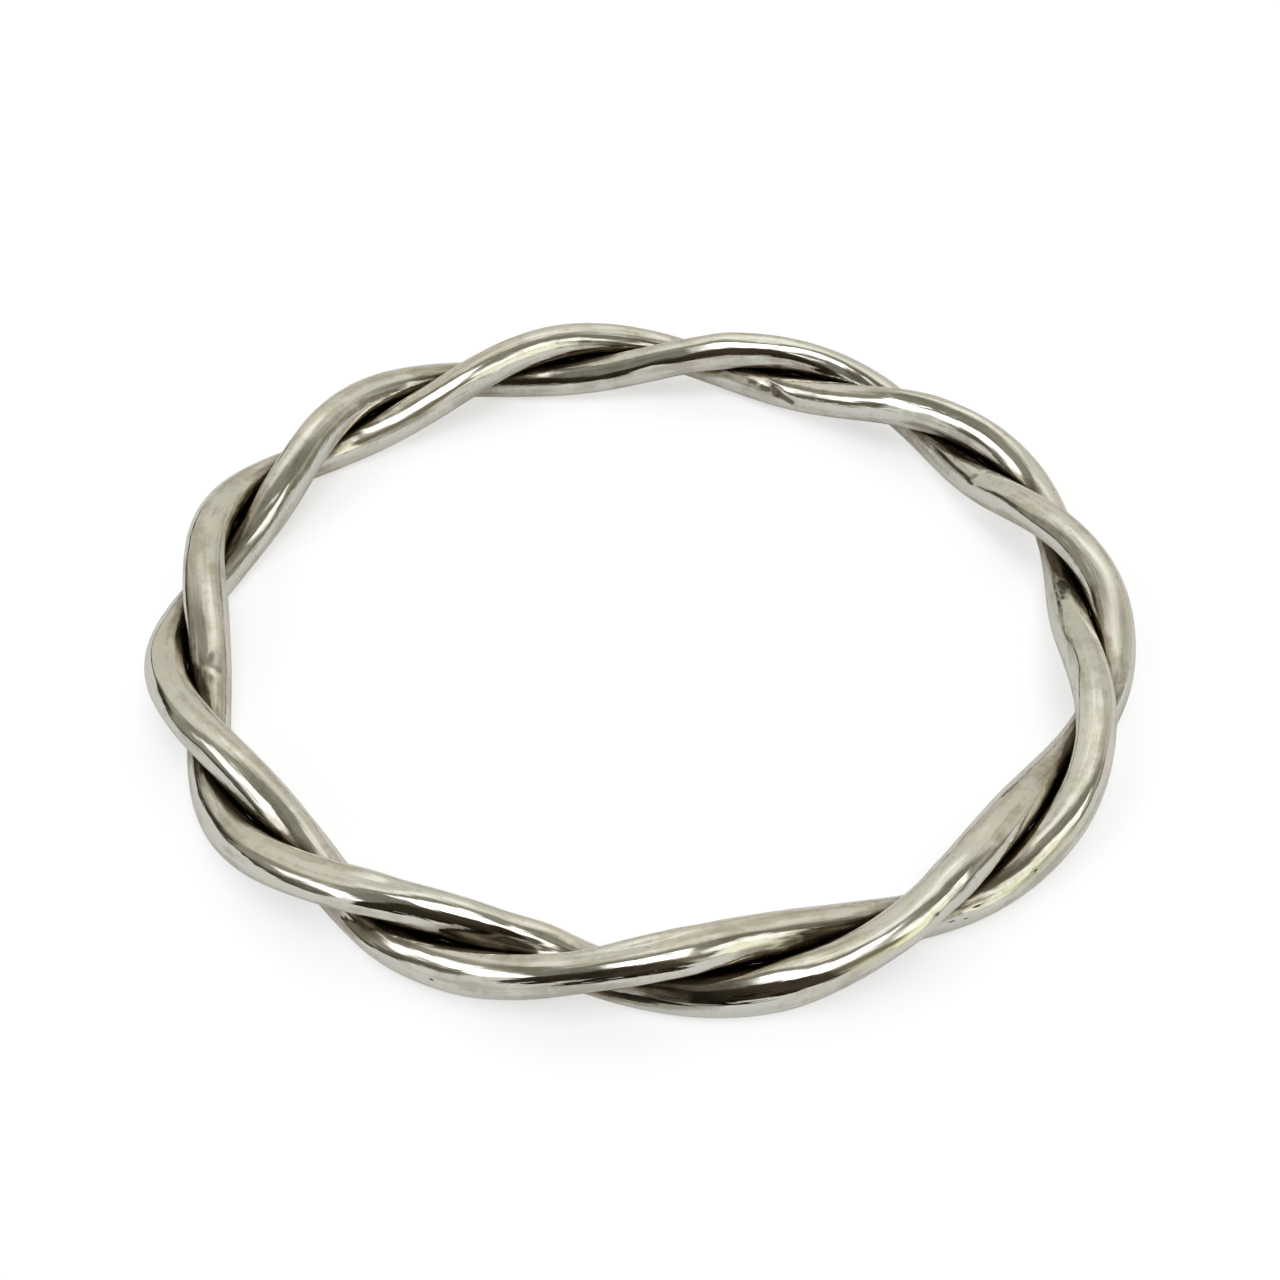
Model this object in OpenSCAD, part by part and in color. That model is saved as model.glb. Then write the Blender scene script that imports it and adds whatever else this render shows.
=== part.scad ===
// A bangle of two round silver wires laid round each other and closed into a
// ring. The ring lies flat: Z is its axis, the floor is Z = 0, and bearings
// run counter-clockwise from +X, seen from above.

/* [Ring] */
// Clear diameter inside the ring, which the hand passes through
inner_diameter = 63.5; // [54:0.5:76]

/* [Wire] */
// Diameter of each wire
wire_diameter = 3.2; // [2:0.1:5]
// Air between the two wires where they lie against each other
lay_gap = 0.05; // [0.04:0.01:0.3]

/* [Twist] */
// Half turns in one trip round; after an odd number each wire meets the other's start
half_turns = 11; // [7:2:17]
// Bearing of the seam where the ends of the wires butt, in degrees
seam_bearing = 305; // [0:1:360]
// Air between the butted ends at the seam
seam_gap = 0.05; // [0.04:0.01:0.3]
// Lead of the hand-made twist over an even one, once, twice and three times round, in degrees
twist_lead = [1.9, 1.4, 0.5]; // [0:0.1:3]
// Bearing of the greatest lead of each, counted from the seam, in degrees
twist_lead_at = [20, 32, 37]; // [0:1:180]

/* [Mesh] */
// Rings of points along a wire in each half turn
steps = 16; // [8:1:24]
// Sides of a wire's round section, a multiple of four so that one corner points straight down
wire_sides = 20; // [12:4:28]

/* [Hidden] */
wire_radius = wire_diameter / 2;
// Distance of each wire's centre from the line that both wind round
lay_radius = wire_radius + lay_gap / 2;
// Radius of the circle that this line follows, and its height over the floor
ring_radius = inner_diameter / 2 + wire_radius + lay_radius;
ring_height = wire_radius + lay_radius;
// Share of a half turn that is trimmed off each end of a wire
seam_trim = seam_gap / 2 / (2 * PI * ring_radius / half_turns);
// Place of a wire's centre round the twist at the seam: on top or below
ON_TOP = 90;
BELOW = -90;
// Step in half turns over which the run of a wire is measured
SLOPE = 0.001;

// Everything below counts the trip round the ring in half turns from the seam.
function even_angle(turn) = 360 * turn / half_turns;
function lead(turn, i) = twist_lead[i] * cos((i + 1) * (even_angle(turn) - twist_lead_at[i]));
function bearing(turn) =
    seam_bearing + even_angle(turn) + lead(turn, 0) + lead(turn, 1) + lead(turn, 2);

// Centre of a wire: it winds round the ring's own line, outward over the top
// to inward, and it starts at the seam at the angle start.
function wire_centre(turn, start) =
    let (
        lay = start + 180 * turn,
        reach = ring_radius + lay_radius * cos(lay)
    )
    [
        reach * cos(bearing(turn)),
        reach * sin(bearing(turn)),
        ring_height + lay_radius * sin(lay)
    ];

function unit(v) = v / norm(v);
function run(turn, start) = unit(wire_centre(turn + SLOPE, start) - wire_centre(turn - SLOPE, start));

// Round section of a wire, square to its run, with a corner straight out,
// straight up, straight in and straight down.
function section(turn, start) =
    let (
        centre = wire_centre(turn, start),
        along = run(turn, start),
        out = unit(cross(along, [0, 0, 1])),
        up = cross(out, along)
    )
    [
        for (k = [0 : wire_sides - 1])
            let (a = 360 * k / wire_sides)
            centre + wire_radius * (cos(a) * out + sin(a) * up)
    ];

// One wire, once round the ring from the seam to the seam
module wire(start) {
    last = half_turns * steps;
    points = [
        for (i = [0 : last])
            each section(max(seam_trim, min(half_turns - seam_trim, i / steps)), start)
    ];
    skin = [
        for (i = [0 : last - 1], k = [0 : wire_sides - 1])
            let (
                near = i * wire_sides + k,
                next = i * wire_sides + (k + 1) % wire_sides
            )
            each [
                [near, next, near + wire_sides],
                [next, next + wire_sides, near + wire_sides]
            ]
    ];
    start_face = [for (k = [wire_sides - 1 : -1 : 0]) k];
    end_face = [for (k = [0 : wire_sides - 1]) last * wire_sides + k];
    polyhedron(points, concat(skin, [start_face, end_face]), convexity = 6);
}

module first_wire() {
    color([0.78, 0.76, 0.71]) wire(ON_TOP);
}

module second_wire() {
    color([0.70, 0.68, 0.63]) wire(BELOW);
}

first_wire();
second_wire();
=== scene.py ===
import math

import bpy
from mathutils import Matrix, Vector


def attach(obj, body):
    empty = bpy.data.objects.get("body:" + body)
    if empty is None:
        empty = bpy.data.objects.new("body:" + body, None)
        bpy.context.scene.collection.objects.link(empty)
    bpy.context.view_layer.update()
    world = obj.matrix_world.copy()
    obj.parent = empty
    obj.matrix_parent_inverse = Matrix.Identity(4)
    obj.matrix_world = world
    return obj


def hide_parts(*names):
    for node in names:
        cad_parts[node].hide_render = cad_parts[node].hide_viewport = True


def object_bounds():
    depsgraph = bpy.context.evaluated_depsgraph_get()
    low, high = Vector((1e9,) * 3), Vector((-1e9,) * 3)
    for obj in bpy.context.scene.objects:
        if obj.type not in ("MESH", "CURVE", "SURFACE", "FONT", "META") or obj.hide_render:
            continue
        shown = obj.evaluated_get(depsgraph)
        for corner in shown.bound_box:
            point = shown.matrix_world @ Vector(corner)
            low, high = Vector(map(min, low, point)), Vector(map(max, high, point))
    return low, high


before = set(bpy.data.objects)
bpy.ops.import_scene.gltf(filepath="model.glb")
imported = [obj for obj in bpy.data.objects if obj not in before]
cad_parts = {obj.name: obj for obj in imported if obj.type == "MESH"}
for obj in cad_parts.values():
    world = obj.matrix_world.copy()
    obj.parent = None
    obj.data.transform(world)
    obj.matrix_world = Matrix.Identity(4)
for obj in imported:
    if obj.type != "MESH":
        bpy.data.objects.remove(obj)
cad_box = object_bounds()


# The two wires
# Two equal round wires of sterling silver, laid round each other by hand in 11 half turns,
# left-handed, on one level circle. They touch all along, and their ends are soldered.
MM = 0.001
DEGREE = math.radians(1)
INNER_DIAMETER = 63.5 * MM
WIRE_RADIUS = 1.6 * MM
LAY_RADIUS = 1.625 * MM
RING_RADIUS = INNER_DIAMETER / 2 + WIRE_RADIUS + LAY_RADIUS
RING_HEIGHT = (cad_box[1][2] - cad_box[0][2]) / 2
HALF_TURNS = 11
SEAM_BEARING = 305.0
# The hand-made twist runs a little ahead or behind, in one, two and three waves a trip: by how
# many degrees, and how many degrees after the seam each wave is fullest.
TWIST_LEAD = (1.9, 1.4, 0.5)
TWIST_LEAD_AT = (20.0, 32.0, 37.0)
HALF_TURN_LENGTH = math.hypot(2 * math.pi * RING_RADIUS / HALF_TURNS, math.pi * LAY_RADIUS)
# Where the hand tools left each wire hollow or proud: turn, in half turns from the seam, side,
# in degrees from outward by way of up, and half length, half width and rise in millimetres.
FIRST_WIRE_HOLLOWS = (
    (0.16, 85, 2.6, 0.56, -0.162),
    (0.17, 42, 2.2, 0.44, 0.060),
    (0.21, 94, 0.9, 0.57, 0.064),
    (0.27, 51, 2.2, 0.37, -0.050),
    (1.20, 53, 1.4, 0.28, 0.162),
    (1.21, 95, 2.0, 0.52, 0.079),
    (1.47, 64, 2.4, 0.95, -0.227),
    (1.77, 126, 3.1, 0.59, -0.240),
    (1.90, 80, 2.3, 0.52, -0.147),
    (1.91, 159, 1.0, 0.53, -0.071),
    (1.94, 111, 2.0, 0.88, 0.070),
    (2.02, 93, 4.1, 0.98, -0.237),
    (2.10, 96, 1.6, 0.88, 0.068),
    (2.17, 122, 2.0, 0.51, -0.075),
    (2.20, 163, 2.1, 0.68, 0.170),
    (2.42, 143, 2.0, 0.37, 0.075),
    (2.55, 130, 1.6, 0.39, -0.108),
    (2.92, 172, 2.0, 0.45, -0.082),
    (3.71, 135, 2.8, 0.29, -0.068),
    (3.81, -168, 3.6, 1.72, -0.123),
    (3.95, 100, 1.8, 0.31, -0.106),
    (4.13, 79, 1.4, 0.93, 0.128),
    (4.46, 175, 1.2, 0.34, -0.134),
    (4.47, -162, 1.8, 0.53, -0.057),
    (4.61, 111, 1.9, 0.47, -0.089),
    (4.72, -176, 3.6, 0.84, 0.156),
    (5.69, 94, 4.2, 0.87, -0.179),
    (5.83, 148, 1.9, 0.39, -0.071),
    (6.23, 65, 4.0, 0.86, 0.170),
    (6.28, 70, 3.7, 0.84, 0.170),
    (6.28, 41, 3.4, 0.83, -0.122),
    (6.48, 126, 1.5, 0.37, 0.122),
    (6.52, 59, 3.0, 0.67, 0.151),
    (6.55, 94, 2.1, 0.57, -0.040),
    (6.77, 150, 3.2, 1.07, -0.243),
    (7.54, 59, 2.7, 0.22, 0.163),
    (7.57, 64, 2.0, 0.56, -0.054),
    (7.92, 94, 0.9, 0.55, 0.056),
    (7.94, 88, 2.0, 0.51, -0.207),
    (7.94, 28, 1.5, 0.58, 0.170),
    (7.96, 93, 0.7, 0.57, 0.057),
    (8.12, 78, 2.0, 0.48, 0.041),
    (8.38, 121, 1.8, 0.51, -0.084),
    (8.41, 122, 4.0, 0.65, 0.298),
    (8.65, 127, 2.0, 0.45, -0.062),
    (8.69, 158, 2.0, 0.54, 0.077),
    (8.97, 36, 1.8, 0.83, -0.159),
    (9.04, 15, 1.8, 0.41, 0.170),
    (9.30, 17, 1.6, 1.08, -0.147),
    (9.36, 100, 2.7, 0.56, 0.111),
    (9.48, 30, 3.4, 1.05, -0.199),
    (9.56, 48, 2.5, 0.30, 0.054),
    (9.68, 27, 3.1, 1.68, -0.179),
    (9.69, 29, 3.5, 1.60, 0.051),
    (9.76, 110, 2.0, 0.55, 0.034),
    (9.77, 25, 1.9, 0.76, -0.210),
    (9.79, 92, 2.4, 0.60, -0.156),
    (9.80, 138, 1.8, 0.66, -0.115),
    (9.80, 13, 2.2, 0.57, 0.025),
    (9.86, 92, 1.2, 0.92, 0.064),
    (9.94, 87, 3.0, 0.63, -0.222),
    (10.00, 105, 3.3, 0.34, -0.216),
    (10.01, 122, 2.1, 0.54, 0.079),
    (10.02, -4, 3.0, 0.37, 0.166),
    (10.05, 113, 2.0, 0.57, 0.065),
    (10.09, 145, 2.0, 0.54, -0.091),
    (10.11, 20, 1.5, 0.94, 0.159),
    (10.15, -4, 0.7, 0.54, -0.090),
    (10.33, 41, 1.7, 1.04, -0.165),
    (10.34, 91, 1.8, 0.38, -0.108),
    (10.68, 126, 2.0, 0.50, 0.091),
)
SECOND_WIRE_HOLLOWS = (
    (0.07, 11, 2.1, 0.30, 0.083),
    (0.36, 36, 2.0, 1.00, -0.225),
    (0.66, 102, 2.3, 0.68, -0.124),
    (0.67, 19, 4.3, 0.66, -0.228),
    (0.79, 41, 1.2, 0.52, -0.097),
    (0.82, 132, 2.0, 0.63, -0.094),
    (0.85, 147, 3.4, 0.29, 0.170),
    (0.86, 89, 3.7, 0.90, -0.245),
    (1.16, 151, 1.9, 0.36, -0.182),
    (2.48, 80, 1.0, 0.57, -0.118),
    (2.85, 78, 2.9, 0.48, 0.135),
    (3.00, 139, 3.8, 1.27, -0.169),
    (3.11, 62, 2.1, 0.52, 0.125),
    (3.22, 92, 2.8, 0.33, 0.170),
    (3.25, 106, 1.2, 0.58, 0.131),
    (3.35, 136, 1.6, 0.42, 0.050),
    (3.40, 144, 1.6, 0.98, -0.100),
    (3.46, 179, 1.4, 0.50, 0.060),
    (3.49, 147, 2.2, 0.40, 0.040),
    (3.99, 158, 2.0, 0.55, -0.109),
    (4.61, 110, 3.2, 0.61, -0.217),
    (5.34, 124, 2.1, 1.01, 0.167),
    (5.36, 158, 2.1, 0.47, 0.057),
    (5.39, 162, 1.8, 0.25, -0.133),
    (5.94, 158, 2.4, 0.99, -0.183),
    (6.90, 94, 3.7, 0.82, -0.167),
    (7.19, 67, 2.1, 0.43, -0.075),
    (7.24, 26, 2.6, 0.51, 0.170),
    (7.44, 83, 2.2, 0.71, -0.197),
    (7.47, 78, 3.5, 0.91, 0.105),
    (7.51, 123, 2.8, 0.83, 0.121),
    (7.55, 66, 2.9, 0.45, -0.207),
    (7.67, 91, 0.7, 0.48, -0.060),
    (7.76, 108, 1.0, 0.52, -0.113),
    (8.34, 42, 2.2, 0.82, -0.113),
    (8.53, 53, 2.4, 0.42, 0.109),
    (8.71, 47, 3.6, 1.00, -0.096),
    (8.82, 89, 2.4, 0.64, -0.173),
    (8.83, 94, 2.0, 0.47, 0.080),
    (8.89, 93, 3.3, 0.71, -0.233),
    (8.93, 0, 2.6, 0.44, 0.149),
    (8.98, 22, 1.3, 0.48, 0.161),
    (9.00, 113, 0.8, 0.58, 0.095),
    (9.05, 101, 1.3, 0.40, -0.239),
    (9.13, 144, 1.9, 0.55, -0.120),
    (9.16, 28, 1.1, 0.51, -0.111),
    (9.38, 93, 1.2, 0.93, 0.100),
    (9.40, 29, 2.3, 1.29, -0.448),
    (9.45, 62, 1.1, 0.80, 0.095),
    (9.49, 48, 1.2, 0.58, -0.213),
    (9.50, 46, 2.3, 0.49, 0.115),
    (9.52, 121, 3.1, 0.58, 0.146),
    (9.53, 44, 1.0, 0.57, 0.115),
    (9.53, 110, 1.8, 0.29, -0.200),
    (9.53, 60, 1.1, 0.44, -0.164),
    (9.54, 90, 2.2, 0.28, -0.183),
    (9.57, 59, 1.8, 0.31, -0.193),
    (9.61, 114, 1.4, 0.62, 0.127),
    (9.62, 114, 2.0, 0.66, 0.129),
    (9.85, 14, 2.0, 0.32, -0.210),
    (9.96, 32, 2.0, 0.49, -0.231),
    (10.18, 26, 2.0, 0.58, -0.035),
    (10.25, 36, 2.3, 0.46, -0.112),
    (10.27, 95, 2.3, 1.09, 0.170),
    (10.36, 110, 1.2, 0.65, 0.170),
    (10.46, 120, 1.2, 0.42, 0.120),
    (10.60, 12, 0.8, 0.57, -0.072),
    (10.69, 104, 3.7, 0.53, -0.159),
    (10.77, -8, 1.4, 0.62, 0.139),
    (10.77, 81, 3.1, 1.41, -0.171),
    (10.78, -21, 2.0, 0.52, -0.132),
)
# Creases from the edge of a tool: turn, side, slant, half length, width of the steep
# flank, width of the easy flank, rise.
FIRST_WIRE_CREASES = (
    (0.24, 57, 3, 1.8, 0.16, 0.50, -0.055),
    (2.60, 122, 60, 0.4, 0.18, 0.60, -0.070),
)
SECOND_WIRE_CREASES = (
    (3.86, 138, -21, 0.8, 0.20, 0.70, -0.090),
    (3.78, 163, -21, 0.9, 0.16, 0.50, -0.140),
    (7.61, 106, 55, 0.5, 0.18, 0.90, -0.100),
)
# Pits, rough places and yellow stains: turn, side, half length, half width, strength.
FIRST_WIRE_PITS = (
    (1.233, 49, 0.22, 0.06, 0.7),
    (3.62, 12, 0.18, 0.06, 0.7),
    (6.35, 61, 0.16, 0.06, 0.7),
    (9.325, 8, 0.15, 0.07, 1.0),
    (9.967, 88, 0.22, 0.06, 0.9),
    (10.960, 17, 0.34, 0.05, 0.8),
    (10.985, 26, 0.46, 0.05, 0.9),
)
SECOND_WIRE_PITS = (
    (0.010, 12, 0.22, 0.05, 0.8),
    (0.026, 25, 0.46, 0.05, 1.0),
    (0.052, 34, 0.34, 0.05, 0.9),
    (0.275, 37, 0.17, 0.07, 1.2),
    (2.40, 58, 0.15, 0.06, 0.8),
    (5.55, 33, 0.18, 0.06, 0.7),
    (10.833, 29, 0.20, 0.06, 1.2),
)
FIRST_WIRE_STAINS = (
    (10.70, 12, 2.0, 0.25, 0.5),
)
SECOND_WIRE_STAINS = (
    (0.36, 36, 2.6, 0.22, 1.0),
    (10.66, 31, 2.6, 0.22, 1.0),
)
# Where tarnish climbs further out of the groove (above 0) or was rubbed away (below 0).
FIRST_WIRE_TARNISH = (
    (0.76, 11, 4.0, 0.59, -0.25),
    (1.47, 165, 4.2, 1.06, -0.29),
    (2.93, 68, 2.9, 1.01, -0.21),
    (3.43, 161, 4.3, 0.76, -0.17),
    (3.55, 115, 1.3, 0.30, 0.45),
    (4.73, 82, 3.2, 0.63, 0.32),
    (4.78, 153, 2.4, 0.61, 0.31),
    (4.85, 167, 1.6, 0.30, 0.41),
    (4.99, 164, 2.9, 0.34, 0.38),
    (5.22, 148, 2.8, 0.34, -0.25),
    (5.69, 166, 3.9, 0.38, -0.39),
    (6.72, 95, 2.6, 0.63, 0.16),
    (7.27, 92, 2.2, 0.55, -0.08),
    (7.43, 136, 1.3, 0.39, 0.27),
    (8.96, 45, 0.8, 0.35, -0.43),
    (9.02, 6, 1.6, 0.93, 0.40),
    (9.48, 107, 1.6, 0.94, -0.39),
    (10.23, 26, 2.0, 0.70, 0.45),
    (10.25, -2, 4.1, 0.71, -0.28),
    (10.46, 51, 1.5, 0.31, 0.32),
)
SECOND_WIRE_TARNISH = (
    (0.54, 123, 4.0, 0.79, -0.34),
    (1.63, 50, 2.4, 0.35, -0.33),
    (1.75, 141, 4.3, 0.73, 0.36),
    (2.69, 120, 2.6, 0.85, -0.39),
    (3.14, -169, 3.6, 0.38, 0.40),
    (3.21, -168, 3.8, 0.54, 0.41),
    (4.71, 174, 3.3, 0.62, -0.24),
    (5.53, 113, 4.0, 0.56, -0.30),
    (6.66, 147, 2.1, 0.54, -0.32),
    (7.49, 32, 1.3, 0.40, -0.25),
    (7.55, 106, 4.0, 0.73, 0.30),
    (8.44, 110, 2.4, 0.87, -0.31),
    (9.41, 47, 2.3, 0.53, 0.30),
    (9.47, 75, 1.2, 0.31, 0.38),
    (9.66, 54, 0.8, 0.48, -0.33),
    (9.80, 40, 2.3, 0.55, -0.25),
    (9.81, 27, 2.4, 0.38, -0.41),
    (9.95, 2, 2.8, 0.74, 0.35),
    (10.16, 11, 4.1, 0.54, 0.39),
    (10.22, 14, 2.2, 0.80, 0.42),
)
# How soon a crease fades past its ends, how deep a pit goes, and how far the whole skin is
# drawn in, which leaves room for the swellings.
CREASE_FADE = 0.35 * MM
PIT_DEPTH = 0.04 * MM
DRAWN_IN = 0.03 * MM
# The unevenness of the whole skin: waves, ripples and grains in a metre, how tightly the
# drawing streaks lie round a wire and along a half turn, and their middle height.
WAVES_PER_METRE = 190.0
RIPPLES_PER_METRE = 700.0
GRAINS_PER_METRE = 2400.0
STREAK_PACKING = 4.0
STREAK_MIDDLE = 0.08
# Hollows and swellings fade out towards the seam over this share of a half turn, so that
# the ends still meet.
SEAM_FADE = 0.12
# How deep in the groove a place lies is told by a cosine, 1 where the other wire touches.
# The unevenness fades out between the first two values, and the skins are pressed together
# between the other two.
CLEAR_OF_GROOVE = (0.95, 0.6)
PRESSED_TOGETHER = (0.982, 0.999)


def put(tree, kind, feeds=None, **settings):
    """Adds a node. Feeds are its inputs by name or number: values, or outputs of other nodes."""
    node = tree.nodes.new(kind)
    for name, value in settings.items():
        setattr(node, name, value)
    for name, value in (feeds or {}).items():
        if isinstance(value, bpy.types.NodeSocket):
            tree.links.new(value, node.inputs[name])
        else:
            node.inputs[name].default_value = value
    return node


def calc(tree, operation, *terms):
    """One step of arithmetic."""
    return put(tree, "ShaderNodeMath", dict(enumerate(terms)), operation=operation).outputs[0]


def vector_calc(tree, operation, *terms):
    """One step of vector arithmetic: the result is a number for DOT_PRODUCT."""
    node = put(tree, "ShaderNodeVectorMath", dict(enumerate(terms)), operation=operation)
    return node.outputs["Value" if operation == "DOT_PRODUCT" else "Vector"]


def scaled(tree, vector, factor):
    """The vector made longer or shorter."""
    return put(tree, "ShaderNodeVectorMath", {0: vector, "Scale": factor}, operation="SCALE").outputs[0]


def cloud(tree, place, scale, detail):
    """A soft cloud of noise, 0.5 on average."""
    node = put(tree, "ShaderNodeTexNoise", {"Vector": place, "Scale": scale, "Detail": detail})
    return node.outputs[0]


def ramp(tree, value, low, high, least=0.0, most=1.0):
    """A soft step: the least where the value is low, the most where it is high."""
    return put(tree, "ShaderNodeMapRange", {
        "Value": value, "From Min": low, "From Max": high, "To Min": least, "To Max": most,
    }, interpolation_type="SMOOTHSTEP").outputs[0]


def new_input(tree, name, kind, value=None):
    """Gives a tree one named input."""
    socket = tree.interface.new_socket(name=name, in_out="INPUT", socket_type="NodeSocket" + kind)
    if value is not None:
        socket.default_value = value


def mark_tree(name, *sizes):
    """A group for one mark on a wire, its inputs, and how far ahead of the mark's middle it looks."""
    tree = bpy.data.node_groups.new(name, "GeometryNodeTree")
    tree.interface.new_socket(name="Rise", in_out="OUTPUT", socket_type="NodeSocketFloat")
    for size in ("Turn", "Side", "At turn", "At side", *sizes):
        new_input(tree, size, "Float")
    given = put(tree, "NodeGroupInput").outputs
    half_turns = calc(tree, "SUBTRACT", given["Turn"], given["At turn"])
    return tree, given, calc(tree, "MULTIPLY", half_turns, HALF_TURN_LENGTH)


def round_wire(tree, side, at_side):
    """How far round the wire a place lies from the mark's middle."""
    angle = calc(tree, "WRAP", calc(tree, "SUBTRACT", side, at_side), math.pi, -math.pi)
    return calc(tree, "MULTIPLY", angle, WIRE_RADIUS)


def bell(tree, along, across):
    """1 at the mark's middle, falling softly to nothing on all sides."""
    far = calc(tree, "MULTIPLY_ADD", along, along, calc(tree, "MULTIPLY", across, across))
    return calc(tree, "EXPONENT", calc(tree, "MULTIPLY", far, -0.5))


def hollow_tree():
    """One hollow, swelling or mark, with or without a like one on the far side of the wire."""
    tree, given, ahead = mark_tree("Hollow", "Half length", "Half width", "Most rise", "Far side")
    along = calc(tree, "DIVIDE", ahead, given["Half length"])
    bells = []
    for at_side in (given["At side"], calc(tree, "ADD", given["At side"], math.pi)):
        across = round_wire(tree, given["Side"], at_side)
        bells.append(bell(tree, along, calc(tree, "DIVIDE", across, given["Half width"])))
    rise = calc(tree, "MULTIPLY_ADD", bells[1], given["Far side"], bells[0])
    put(tree, "NodeGroupOutput", {"Rise": calc(tree, "MULTIPLY", rise, given["Most rise"])})
    return tree


def crease_tree():
    """One crease: steep on one flank, easy on the other, fading out past its ends."""
    tree, given, ahead = mark_tree(
        "Crease", "Slant", "Half length", "Steep width", "Easy width", "Most rise")
    round_it = round_wire(tree, given["Side"], given["At side"])
    lean_cos = calc(tree, "COSINE", given["Slant"])
    lean_sin = calc(tree, "SINE", given["Slant"])
    along = calc(tree, "MULTIPLY_ADD", ahead, lean_cos, calc(tree, "MULTIPLY", round_it, lean_sin))
    across = calc(tree, "SUBTRACT",
                  calc(tree, "MULTIPLY", round_it, lean_cos), calc(tree, "MULTIPLY", ahead, lean_sin))
    easy = calc(tree, "GREATER_THAN", across, 0.0)
    wider = calc(tree, "SUBTRACT", given["Easy width"], given["Steep width"])
    width = calc(tree, "MULTIPLY_ADD", easy, wider, given["Steep width"])
    past = calc(tree, "SUBTRACT", calc(tree, "ABSOLUTE", along), given["Half length"])
    past = calc(tree, "DIVIDE", calc(tree, "MAXIMUM", past, 0.0), CREASE_FADE)
    here = bell(tree, past, calc(tree, "DIVIDE", across, width))
    put(tree, "NodeGroupOutput", {"Rise": calc(tree, "MULTIPLY", here, given["Most rise"])})
    return tree


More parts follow.
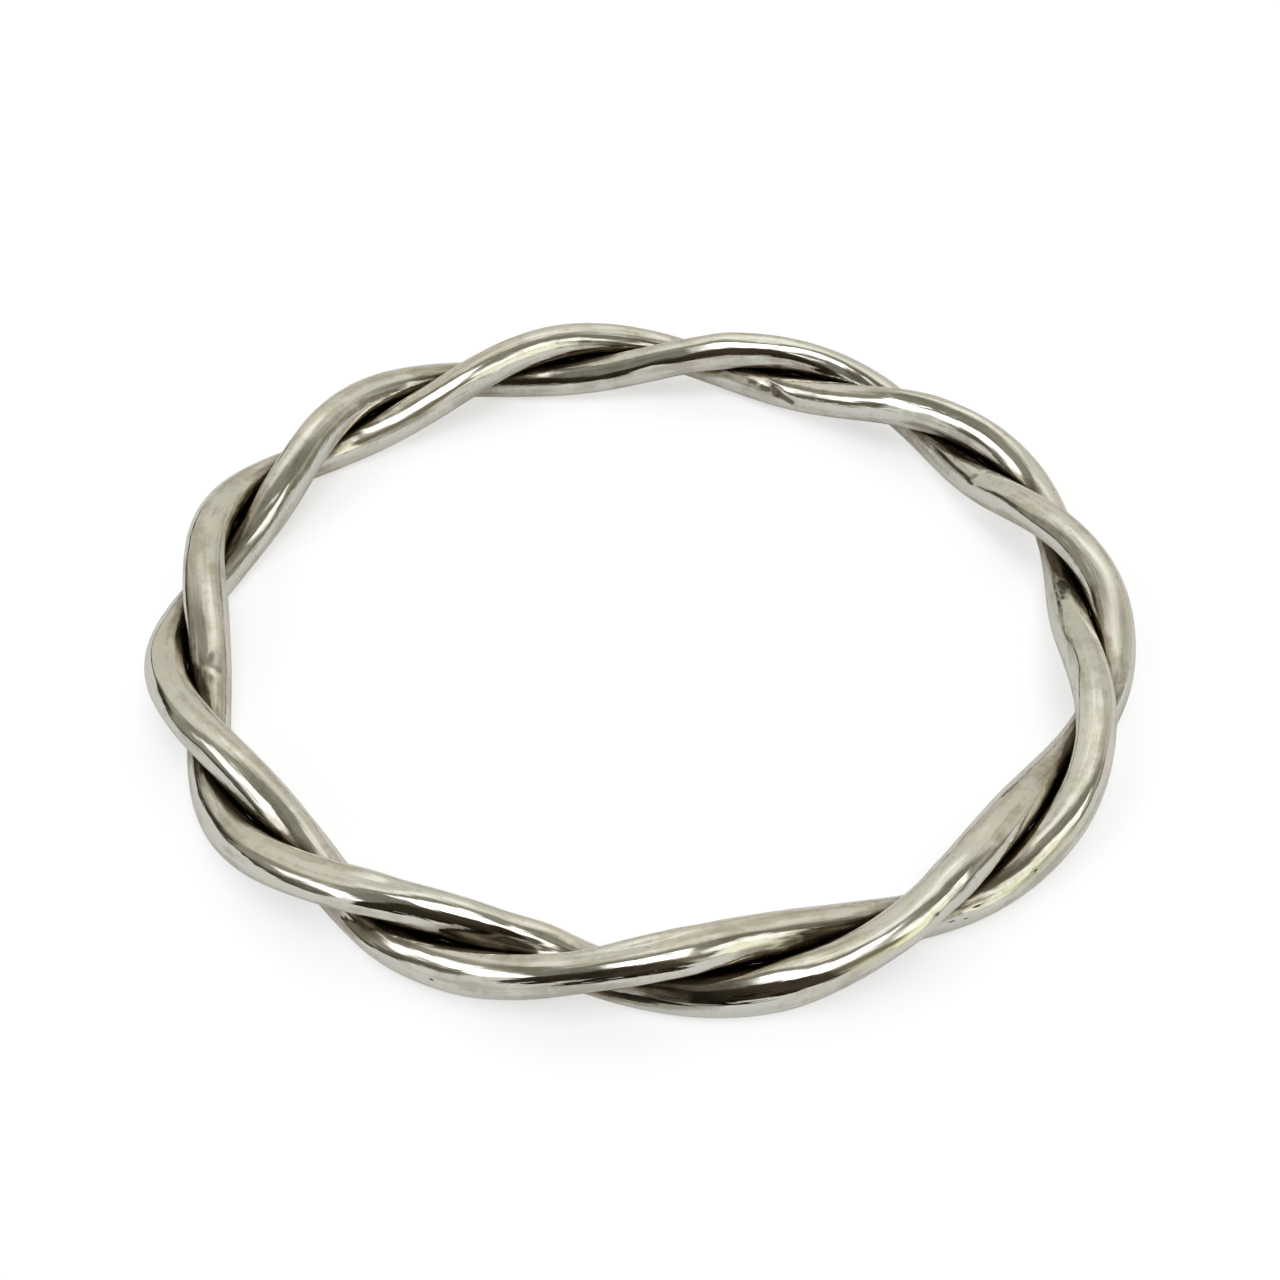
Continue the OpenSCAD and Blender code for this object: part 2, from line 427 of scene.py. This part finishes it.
def laid_wire_tree(name, hollows, creases, pits, stains, tarnish):
    """Geometry Nodes for one wire: its run round the ring, its round skin and its unevenness."""
    tree = bpy.data.node_groups.new(name, "GeometryNodeTree")
    tree.interface.new_socket(name="Geometry", in_out="OUTPUT", socket_type="NodeSocketGeometry")
    sizes = {
        "Ring radius": RING_RADIUS,
        "Ring height": RING_HEIGHT,
        "Lay radius": LAY_RADIUS,
        "Wire radius": WIRE_RADIUS,
        "Half turns": float(HALF_TURNS),
        "Seam bearing": math.radians(SEAM_BEARING),
        "Start": 0.0,
        "Wave": 0.05 * MM,
        "Ripple": 0.016 * MM,
        "Grain": 0.002 * MM,
        "Streak": 0.050 * MM,
        "Touch": 0.0235 * MM,
    }
    for size, value in sizes.items():
        new_input(tree, size, "Float", value)
    for count, value in {"Rings": 1541, "Sides": 64}.items():
        new_input(tree, count, "Int", value)
    new_input(tree, "Silver", "Material")
    given = put(tree, "NodeGroupInput").outputs

    def keep(shape, label, value, kind="FLOAT"):
        """The shape with a value stored on it."""
        return put(tree, "GeometryNodeStoreNamedAttribute",
                   {"Geometry": shape.outputs[0], "Name": label, "Value": value}, data_type=kind)

    def stored(label, kind="FLOAT"):
        node = put(tree, "GeometryNodeInputNamedAttribute", {"Name": label}, data_type=kind)
        return node.outputs["Attribute"]

    # The run: a line of rings, laid round the circle by the law of the twist.
    line = put(tree, "GeometryNodeCurvePrimitiveLine")
    run = put(tree, "GeometryNodeResampleCurve", {"Curve": line.outputs[0], "Count": given["Rings"]})
    along = put(tree, "GeometryNodeSplineParameter").outputs["Factor"]
    turn = calc(tree, "MULTIPLY", along, given["Half turns"])
    even = calc(tree, "MULTIPLY", along, 2 * math.pi)
    bearing = calc(tree, "ADD", even, given["Seam bearing"])
    for times, (lead, lead_at) in enumerate(zip(TWIST_LEAD, TWIST_LEAD_AT), start=1):
        past = calc(tree, "MULTIPLY", calc(tree, "SUBTRACT", even, math.radians(lead_at)), times)
        ahead = calc(tree, "MULTIPLY", calc(tree, "COSINE", past), math.radians(lead))
        bearing = calc(tree, "ADD", bearing, ahead)
    lay = calc(tree, "MULTIPLY_ADD", turn, math.pi, given["Start"])
    reach = calc(tree, "MULTIPLY_ADD",
                 calc(tree, "COSINE", lay), given["Lay radius"], given["Ring radius"])
    height = calc(tree, "MULTIPLY_ADD",
                  calc(tree, "SINE", lay), given["Lay radius"], given["Ring height"])
    bearing_cos = calc(tree, "COSINE", bearing)
    bearing_sin = calc(tree, "SINE", bearing)
    spine = put(tree, "ShaderNodeCombineXYZ", {
        "X": calc(tree, "MULTIPLY", reach, bearing_cos),
        "Y": calc(tree, "MULTIPLY", reach, bearing_sin),
        "Z": height,
    }).outputs[0]
    ring_line = put(tree, "ShaderNodeCombineXYZ", {
        "X": calc(tree, "MULTIPLY", given["Ring radius"], bearing_cos),
        "Y": calc(tree, "MULTIPLY", given["Ring radius"], bearing_sin),
        "Z": given["Ring height"],
    }).outputs[0]
    plain_out = put(tree, "ShaderNodeCombineXYZ", {"X": bearing_cos, "Y": bearing_sin}).outputs[0]
    # The places are kept before the curve is bent, because bending changes its parameter.
    run = keep(run, "turn", turn)
    run = keep(run, "spine", spine, "FLOAT_VECTOR")
    run = keep(run, "ring_line", ring_line, "FLOAT_VECTOR")
    run = keep(run, "plain_out", plain_out, "FLOAT_VECTOR")
    run = put(tree, "GeometryNodeSetPosition",
              {"Geometry": run.outputs[0], "Position": stored("spine", "FLOAT_VECTOR")})
    run = keep(run, "way", put(tree, "GeometryNodeInputTangent").outputs[0], "FLOAT_VECTOR")
    run = put(tree, "GeometryNodeSetCurveNormal", {"Curve": run.outputs[0]}, mode="Z_UP")

    # The round skin, and where each point of it stands round the wire.
    section = put(tree, "GeometryNodeCurvePrimitiveCircle",
                  {"Resolution": given["Sides"], "Radius": given["Wire radius"]})
    skin = put(tree, "GeometryNodeCurveToMesh",
               {"Curve": run.outputs[0], "Profile Curve": section.outputs[0], "Fill Caps": True})
    place = put(tree, "GeometryNodeInputPosition").outputs[0]
    spine = stored("spine", "FLOAT_VECTOR")
    reach_out = vector_calc(tree, "NORMALIZE", vector_calc(tree, "SUBTRACT", place, spine))
    to_other = vector_calc(tree, "SUBTRACT", stored("ring_line", "FLOAT_VECTOR"), spine)
    to_other = vector_calc(tree, "NORMALIZE", to_other)
    skin = keep(skin, "groove", vector_calc(tree, "DOT_PRODUCT", reach_out, to_other))
    skin = keep(skin, "outward", reach_out, "FLOAT_VECTOR")
    way = stored("way", "FLOAT_VECTOR")
    side_out = stored("plain_out", "FLOAT_VECTOR")
    slip = scaled(tree, way, vector_calc(tree, "DOT_PRODUCT", side_out, way))
    side_out = vector_calc(tree, "NORMALIZE", vector_calc(tree, "SUBTRACT", side_out, slip))
    side_up = vector_calc(tree, "CROSS_PRODUCT", side_out, way)
    side = calc(tree, "ARCTAN2", vector_calc(tree, "DOT_PRODUCT", reach_out, side_up),
                vector_calc(tree, "DOT_PRODUCT", reach_out, side_out))
    skin = keep(skin, "side", side)
    turn = stored("turn")
    side = stored("side")

    def gathered(group, rows, units, far_side=0.0):
        """The sum of the hollows, creases or marks in these rows."""
        total = None
        for row in rows:
            node = put(tree, "GeometryNodeGroup", {"Turn": turn, "Side": side}, node_tree=group)
            for socket, value, unit in zip(node.inputs[2:], row, units):
                socket.default_value = value * unit
            if far_side:
                node.inputs["Far side"].default_value = far_side
            total = node.outputs[0] if total is None else calc(tree, "ADD", total, node.outputs[0])
        return total

    # The marks of tools, wear and time.
    mark_units = (1.0, DEGREE, MM, MM, 1.0)
    hollow_units = (1.0, DEGREE, MM, MM, MM)
    crease_units = (1.0, DEGREE, DEGREE, MM, MM, MM, 1.0)
    skin = keep(skin, "pit", gathered(one_hollow, pits, mark_units))
    skin = keep(skin, "stain", gathered(one_hollow, stains, mark_units))
    skin = keep(skin, "tarnish", gathered(one_hollow, tarnish, mark_units))
    drawn = put(tree, "ShaderNodeCombineXYZ", {
        "X": calc(tree, "MULTIPLY", calc(tree, "COSINE", side), STREAK_PACKING),
        "Y": calc(tree, "MULTIPLY", calc(tree, "SINE", side), STREAK_PACKING),
        "Z": calc(tree, "MULTIPLY", turn, STREAK_PACKING),
    }).outputs[0]
    skin = keep(skin, "drawn", drawn, "FLOAT_VECTOR")
    rise = gathered(one_hollow, hollows, hollow_units, far_side=1.0)
    skin = keep(skin, "crease", gathered(one_crease, creases, crease_units))
    rise = calc(tree, "MULTIPLY_ADD", stored("crease"), MM, rise)
    to_end = calc(tree, "MINIMUM", turn, calc(tree, "SUBTRACT", given["Half turns"], turn))
    rise = calc(tree, "MULTIPLY", rise, ramp(tree, to_end, 0.0, SEAM_FADE))

    def noise(scale):
        """Noise over the skin, 0 on average."""
        return calc(tree, "SUBTRACT", cloud(tree, place, scale, 1.0), 0.5)

    uneven = calc(tree, "MULTIPLY_ADD", noise(WAVES_PER_METRE), given["Wave"], rise)
    uneven = calc(tree, "MULTIPLY_ADD", stored("pit"), -PIT_DEPTH, uneven)
    uneven = calc(tree, "MULTIPLY_ADD", noise(RIPPLES_PER_METRE), given["Ripple"], uneven)
    uneven = calc(tree, "MULTIPLY_ADD", noise(GRAINS_PER_METRE), given["Grain"], uneven)
    streak = calc(tree, "SUBTRACT", cloud(tree, drawn, 1.0, 1.0), 0.5)
    ridge = calc(tree, "SUBTRACT", STREAK_MIDDLE, calc(tree, "ABSOLUTE", streak))
    uneven = calc(tree, "MULTIPLY_ADD", ridge, given["Streak"], uneven)
    uneven = calc(tree, "SUBTRACT", uneven, DRAWN_IN)
    clear = ramp(tree, stored("groove"), *CLEAR_OF_GROOVE)
    touch = ramp(tree, stored("groove"), *PRESSED_TOGETHER, most=given["Touch"])
    shift = scaled(tree, stored("outward", "FLOAT_VECTOR"),
                   calc(tree, "MULTIPLY_ADD", uneven, clear, touch))
    skin = put(tree, "GeometryNodeSetPosition", {"Geometry": skin.outputs[0], "Offset": shift})
    skin = put(tree, "GeometryNodeSetShadeSmooth",
               {"Geometry": skin.outputs[0], "Shade Smooth": True})
    skin = put(tree, "GeometryNodeRealizeInstances", {"Geometry": skin.outputs[0]})
    skin = put(tree, "GeometryNodeSetMaterial",
               {"Geometry": skin.outputs[0], "Material": given["Silver"]})
    put(tree, "NodeGroupOutput", {"Geometry": skin.outputs[0]})
    return tree


# The silver's own colours, and those of its film, its marks and what lies in the groove.
COOL_SILVER = (0.935, 0.94, 0.89)
WARM_SILVER = (0.97, 0.935, 0.88)
THIN_FILM = (0.64, 0.605, 0.52)
GREY_SPECKS = (0.55, 0.52, 0.45)
YELLOW_STAIN = (0.90, 0.90, 0.60)
GREY_SMEAR = (0.56, 0.51, 0.43)
BROWN_TARNISH = (0.36, 0.31, 0.235)
DARK_CRUST = (0.055, 0.040, 0.026)
PALE_CRUST = (0.155, 0.125, 0.083)
# The scales of the silver's clouds, in clouds a metre, and of its streaks along the wire.
LARGE_CLOUDS = 170.0
MIDDLE_CLOUDS = 480.0
FINE_CLOUDS = 2300.0
GRAIN_CLOUDS = 9000.0
BROAD_STREAKS = 0.55
DRAWING_LINES = 1.7
# The bare metal's roughness, what the film and the crust add to it, and the depth of the
# lines that drawing left.
POLISH_ROUGHNESS = 0.045
FILM_ROUGHNESS = 0.07
CRUST_ROUGHNESS = 0.24
DRAWING_LINE_DEPTH = 0.016 * MM


def mixed(tree, amount, *ends):
    """A blend of two colours, each of them three values or a node's output."""
    first, second = [end if isinstance(end, bpy.types.NodeSocket) else (*end, 1.0) for end in ends]
    # A Mix node has its colours at inputs 6 and 7, and gives them at output 2.
    node = put(tree, "ShaderNodeMix", {0: amount, 6: first, 7: second}, data_type="RGBA")
    return node.outputs[2]


def swayed(tree, value, *sways):
    """The value moved up and down by each cloud, times its share."""
    for share, clouds in sways:
        value = calc(tree, "MULTIPLY_ADD", calc(tree, "SUBTRACT", clouds, 0.5), share, value)
    return value


def silver():
    """Polished sterling silver, with a thin warm film and brown-black tarnish in the groove."""
    material = bpy.data.materials.new("worn_silver")
    material.use_nodes = True
    tree = material.node_tree
    tree.nodes.clear()
    place = put(tree, "ShaderNodeTexCoord").outputs["Object"]

    def attribute(name, output="Fac"):
        return put(tree, "ShaderNodeAttribute", attribute_name=name).outputs[output]

    along = attribute("drawn", "Vector")
    middle = cloud(tree, place, MIDDLE_CLOUDS, 3.0)
    fine = cloud(tree, place, FINE_CLOUDS, 3.0)
    streaks = cloud(tree, along, BROAD_STREAKS, 3.0)
    # The bare metal, cooler and warmer in turn, under its film, its specks and its stains.
    film = ramp(tree, swayed(tree, streaks, (0.6, middle), (0.3, fine)), 0.44, 0.70, 0.0, 0.8)
    tint = ramp(tree, cloud(tree, place, LARGE_CLOUDS, 2.0), 0.40, 0.60)
    specks = ramp(tree, fine, 0.30, 0.46, 0.10, 0.0)
    stain = ramp(tree, attribute("stain"), 0.1, 0.9, 0.0, 0.6)
    colour = mixed(tree, film, mixed(tree, tint, COOL_SILVER, WARM_SILVER), THIN_FILM)
    colour = mixed(tree, specks, colour, GREY_SPECKS)
    colour = mixed(tree, stain, colour, YELLOW_STAIN)
    # Tarnish thickens towards the groove, from a grey smear to brown and then to a dark crust,
    # which also fills the pits and the creases.
    depth = calc(tree, "ADD", attribute("groove"), attribute("tarnish"))
    depth = swayed(tree, depth, (0.30, streaks), (0.20, middle), (0.07, fine))
    smear = calc(tree, "MULTIPLY", attribute("groove"), 0.3)
    smear = swayed(tree, smear, (1.2, streaks), (0.5, middle), (0.2, fine))
    colour = mixed(tree, ramp(tree, smear, 0.10, 0.34, 0.0, 0.6), colour, GREY_SMEAR)
    colour = mixed(tree, ramp(tree, depth, 0.40, 0.68, 0.0, 0.7), colour, BROWN_TARNISH)
    pit = ramp(tree, swayed(tree, attribute("pit"), (0.5, fine)), 0.36, 0.66)
    fold = calc(tree, "MULTIPLY", swayed(tree, attribute("crease"), (0.02, fine)), -1.0)
    fold = ramp(tree, fold, 0.075, 0.115, 0.0, 0.85)
    dark = calc(tree, "MAXIMUM", ramp(tree, depth, 0.68, 0.80), pit)
    dark = calc(tree, "MAXIMUM", dark, fold)
    crust = ramp(tree, swayed(tree, streaks, (0.6, middle)), 0.42, 0.62)
    colour = mixed(tree, dark, colour, mixed(tree, crust, DARK_CRUST, PALE_CRUST))
    rough = calc(tree, "MULTIPLY_ADD", film, FILM_ROUGHNESS, POLISH_ROUGHNESS)
    rough = calc(tree, "MULTIPLY_ADD", dark, CRUST_ROUGHNESS, rough)
    lines = cloud(tree, along, DRAWING_LINES, 2.0)
    lines = calc(tree, "MULTIPLY_ADD", cloud(tree, place, GRAIN_CLOUDS, 2.0), 0.05, lines)
    grain = put(tree, "ShaderNodeBump",
                {"Height": lines, "Strength": 1.0, "Distance": DRAWING_LINE_DEPTH}).outputs[0]
    shader = put(tree, "ShaderNodeBsdfPrincipled",
                 {"Base Color": colour, "Roughness": rough, "Metallic": 1.0, "Normal": grain})
    put(tree, "ShaderNodeOutputMaterial", {"Surface": shader.outputs[0]})
    return material


one_hollow = hollow_tree()
one_crease = crease_tree()
worn_silver = silver()


def lay_wire(name, start, *marks):
    """Runs the tree for one wire and keeps its result as a plain mesh."""
    wire_tree = laid_wire_tree(name, *marks)
    host = bpy.data.objects.new(name + "_run", bpy.data.meshes.new(name + "_run"))
    bpy.context.scene.collection.objects.link(host)
    modifier = host.modifiers.new("Laid wire", "NODES")
    modifier.node_group = wire_tree
    identifiers = {
        item.name: item.identifier
        for item in wire_tree.interface.items_tree if item.in_out == "INPUT"
    }
    modifier[identifiers["Start"]] = start
    modifier[identifiers["Silver"]] = worn_silver
    bpy.context.view_layer.update()
    laid = host.evaluated_get(bpy.context.evaluated_depsgraph_get())
    mesh = bpy.data.meshes.new_from_object(laid)
    host.modifiers.remove(modifier)
    bpy.data.objects.remove(host)
    piece = bpy.data.objects.new(name, mesh)
    bpy.context.scene.collection.objects.link(piece)
    return piece


first_wire = lay_wire("first_silver_wire", math.pi / 2,
                      FIRST_WIRE_HOLLOWS, FIRST_WIRE_CREASES, FIRST_WIRE_PITS,
                      FIRST_WIRE_STAINS, FIRST_WIRE_TARNISH)
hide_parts("first_wire")
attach(first_wire, "root")

second_wire = lay_wire("second_silver_wire", -math.pi / 2,
                       SECOND_WIRE_HOLLOWS, SECOND_WIRE_CREASES, SECOND_WIRE_PITS,
                       SECOND_WIRE_STAINS, SECOND_WIRE_TARNISH)
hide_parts("second_wire")
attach(second_wire, "root")


# The table it lies on
# A plain pale sheet, level, under the lowest points of the wires.
FLOOR_HALF = 3.0
FLOOR_COLOUR = (0.85, 0.865, 0.93, 1.0)
FLOOR_GLOW = (0.068, 0.056, 0.030)
FLOOR_LIFT = (0.53, 0.53, 0.53)


def pale_floor():
    """A level pale floor, lifted towards white where it is seen directly."""
    corners = [(x * FLOOR_HALF, y * FLOOR_HALF, 0.0) for x, y in ((-1, -1), (1, -1), (1, 1), (-1, 1))]
    mesh = bpy.data.meshes.new("floor")
    mesh.from_pydata(corners, [], [(0, 1, 2, 3)])
    material = bpy.data.materials.new("pale_floor")
    material.use_nodes = True
    tree = material.node_tree
    tree.nodes.clear()
    sheet = put(tree, "ShaderNodeBsdfDiffuse", {"Color": FLOOR_COLOUR})
    seen = put(tree, "ShaderNodeLightPath").outputs["Is Camera Ray"]
    glow = mixed(tree, seen, FLOOR_GLOW, FLOOR_LIFT)
    lift = put(tree, "ShaderNodeEmission", {"Color": glow, "Strength": 1.0})
    shader = put(tree, "ShaderNodeAddShader", {0: sheet.outputs[0], 1: lift.outputs[0]})
    put(tree, "ShaderNodeOutputMaterial", {"Surface": shader.outputs[0]})
    mesh.materials.append(material)
    floor = bpy.data.objects.new("floor", mesh)
    bpy.context.scene.collection.objects.link(floor)
    return floor


pale_floor()


# The room's light
# A pale room with a tall bright window on the left, a lamp and a skylight
# overhead, a pale wall on the right and a dark panel in front.
PANELS = (
    # bearing, height, lean, half width, half height, soft edge, colour
    (84, 58, 14, 15.7, 7.7, 25, (0.968, 0.970, 0.881)),
    (-176, 23, -14, 29.4, 34.6, 22, (0.250, 0.235, 0.187)),
    (-5, 83, 1, 40.4, 15.0, 10, (0.239, 0.234, 0.187)),
    (-11, 38, 5, 20.8, 27.5, 27, (0.182, 0.171, 0.130)),
    (2, 7, 29, 8.1, 17.7, 7, (0.204, 0.190, 0.142)),
    (-22, 31, 30, 17.8, 15.2, 7, (1.120, 1.130, 1.040)),
    (-45, 4, -22, 17.0, 11.7, 4, (0.454, 0.432, 0.364)),
    (-114, 50, 8, 22.5, 27.0, 4, (0.184, 0.180, 0.153)),
    (-64, 33, -9, 26.0, 10.6, 10, (0.167, 0.157, 0.109)),
    (-85, 19, 33, 20.4, 28.1, 11, (0.050, 0.037, 0.025)),
    (-108, 11, -13, 14.9, 19.9, 5, (0.027, 0.022, 0.014)),
    (-163, 38, -18, 12.4, 11.2, 7, (1.250, 1.260, 1.220)),
    (-143, 39, 18, 11.2, 16.2, 7, (1.700, 1.740, 1.740)),
    (-76, 68, 9, 14.6, 17.4, 9, (1.900, 1.940, 1.930)),
    (-159, 8, 8, 14.8, 7.7, 4, (0.105, 0.102, 0.079)),
    (-135, 15, -25, 7.4, 19.0, 6, (0.614, 0.628, 0.582)),
    (-30, 15, -15, 9.6, 16.8, 6, (0.900, 0.905, 0.740)),
    (153, 12, -29, 6.5, 9.0, 11, (0.030, 0.024, 0.012)),
    (-91, 2, 0, 31.0, 3.2, 3, (0.006, 0.003, 0.001)),
)
# A direction behind a panel counts as barely ahead of it, and so as far outside its edges.
BARELY_AHEAD = 0.001
# The sky's colour at the horizon and overhead.
SKY_LOW = (0.47, 0.45, 0.38)
SKY_HIGH = (0.67, 0.65, 0.57)
# A dark strip low on the left: its bearing, how far to its sides and how high its soft edge
# ends and starts, in degrees, and its colour.
STRIP_BEARING = 165
STRIP_REACH = (52, 36)
STRIP_TOP = (7.9, 5.9)
STRIP_COLOUR = (0.050, 0.045, 0.036)


def direction(bearing, height):
    """Unit vector towards a bearing from +X and a height over the horizon, in degrees."""
    turn, rise = math.radians(bearing), math.radians(height)
    return Vector((math.cos(rise) * math.cos(turn), math.cos(rise) * math.sin(turn), math.sin(rise)))


def panel(tree, look, under, bearing, height, lean, half_width, half_height, soft, colour):
    """A soft-edged panel of light, or of dark, seen in that direction; its sizes are in degrees."""
    centre = direction(bearing, height)
    across = Vector((1, 0, 0))
    across = (across - across.dot(centre) * centre).normalized()
    across.rotate(Matrix.Rotation(math.radians(lean), 3, centre))
    ahead = calc(tree, "MAXIMUM", vector_calc(tree, "DOT_PRODUCT", look, centre), BARELY_AHEAD)
    parts = []
    for axis, half in ((across, half_width), (centre.cross(across), half_height)):
        off = calc(tree, "DIVIDE", vector_calc(tree, "DOT_PRODUCT", look, axis), ahead)
        outer = math.tan(math.radians(half + soft / 2))
        inner = math.tan(math.radians(half - soft / 2))
        parts.append(ramp(tree, calc(tree, "ABSOLUTE", off), outer, inner))
    return mixed(tree, calc(tree, "MULTIPLY", *parts), under, colour)


def pale_room():
    """A pale sky, brighter overhead, with the panels and the dark strip before it."""
    world = bpy.data.worlds.new("pale_room")
    bpy.context.scene.world = world
    world.use_nodes = True
    # The room's light is soft all round, so the surfaces' own bounce rays find it well enough.
    world.cycles.sampling_method = "NONE"
    tree = world.node_tree
    tree.nodes.clear()
    look = put(tree, "ShaderNodeTexCoord").outputs["Generated"]
    rise = put(tree, "ShaderNodeSeparateXYZ", {0: look}).outputs["Z"]
    light = mixed(tree, rise, SKY_LOW, SKY_HIGH)
    for sizes in PANELS:
        light = panel(tree, look, light, *sizes)
    low = ramp(tree, rise, *(math.sin(math.radians(height)) for height in STRIP_TOP))
    towards = vector_calc(tree, "DOT_PRODUCT", look, direction(STRIP_BEARING, 0))
    beside = ramp(tree, towards, *(math.cos(math.radians(reach)) for reach in STRIP_REACH))
    light = mixed(tree, calc(tree, "MULTIPLY", low, beside), light, STRIP_COLOUR)
    backdrop = put(tree, "ShaderNodeBackground", {"Color": light, "Strength": 1.0})
    put(tree, "ShaderNodeOutputWorld", {"Surface": backdrop.outputs[0]})


pale_room()
bpy.context.scene.view_settings.view_transform = "Standard"


# The camera
# Close over the bangle and in front of it, looking down by about 43 degrees.
CAMERA_PLACE = Vector((0.0, -0.1109, 0.1029))
CAMERA_AIM = Vector((-0.0002, -0.0033, 0.0032))
CAMERA_ROLL = 0.54
LENS = 53.7

camera_data = bpy.data.cameras.new("camera")
camera_data.lens = LENS
camera_data.sensor_width = 36.0
camera_data.clip_start = 0.01
camera = bpy.data.objects.new("camera", camera_data)
bpy.context.scene.collection.objects.link(camera)
aim = (CAMERA_AIM - CAMERA_PLACE).to_track_quat("-Z", "Y").to_matrix().to_4x4()
roll = Matrix.Rotation(math.radians(CAMERA_ROLL), 4, "Z")
camera.matrix_world = Matrix.Translation(CAMERA_PLACE) @ aim @ roll
bpy.context.scene.camera = camera
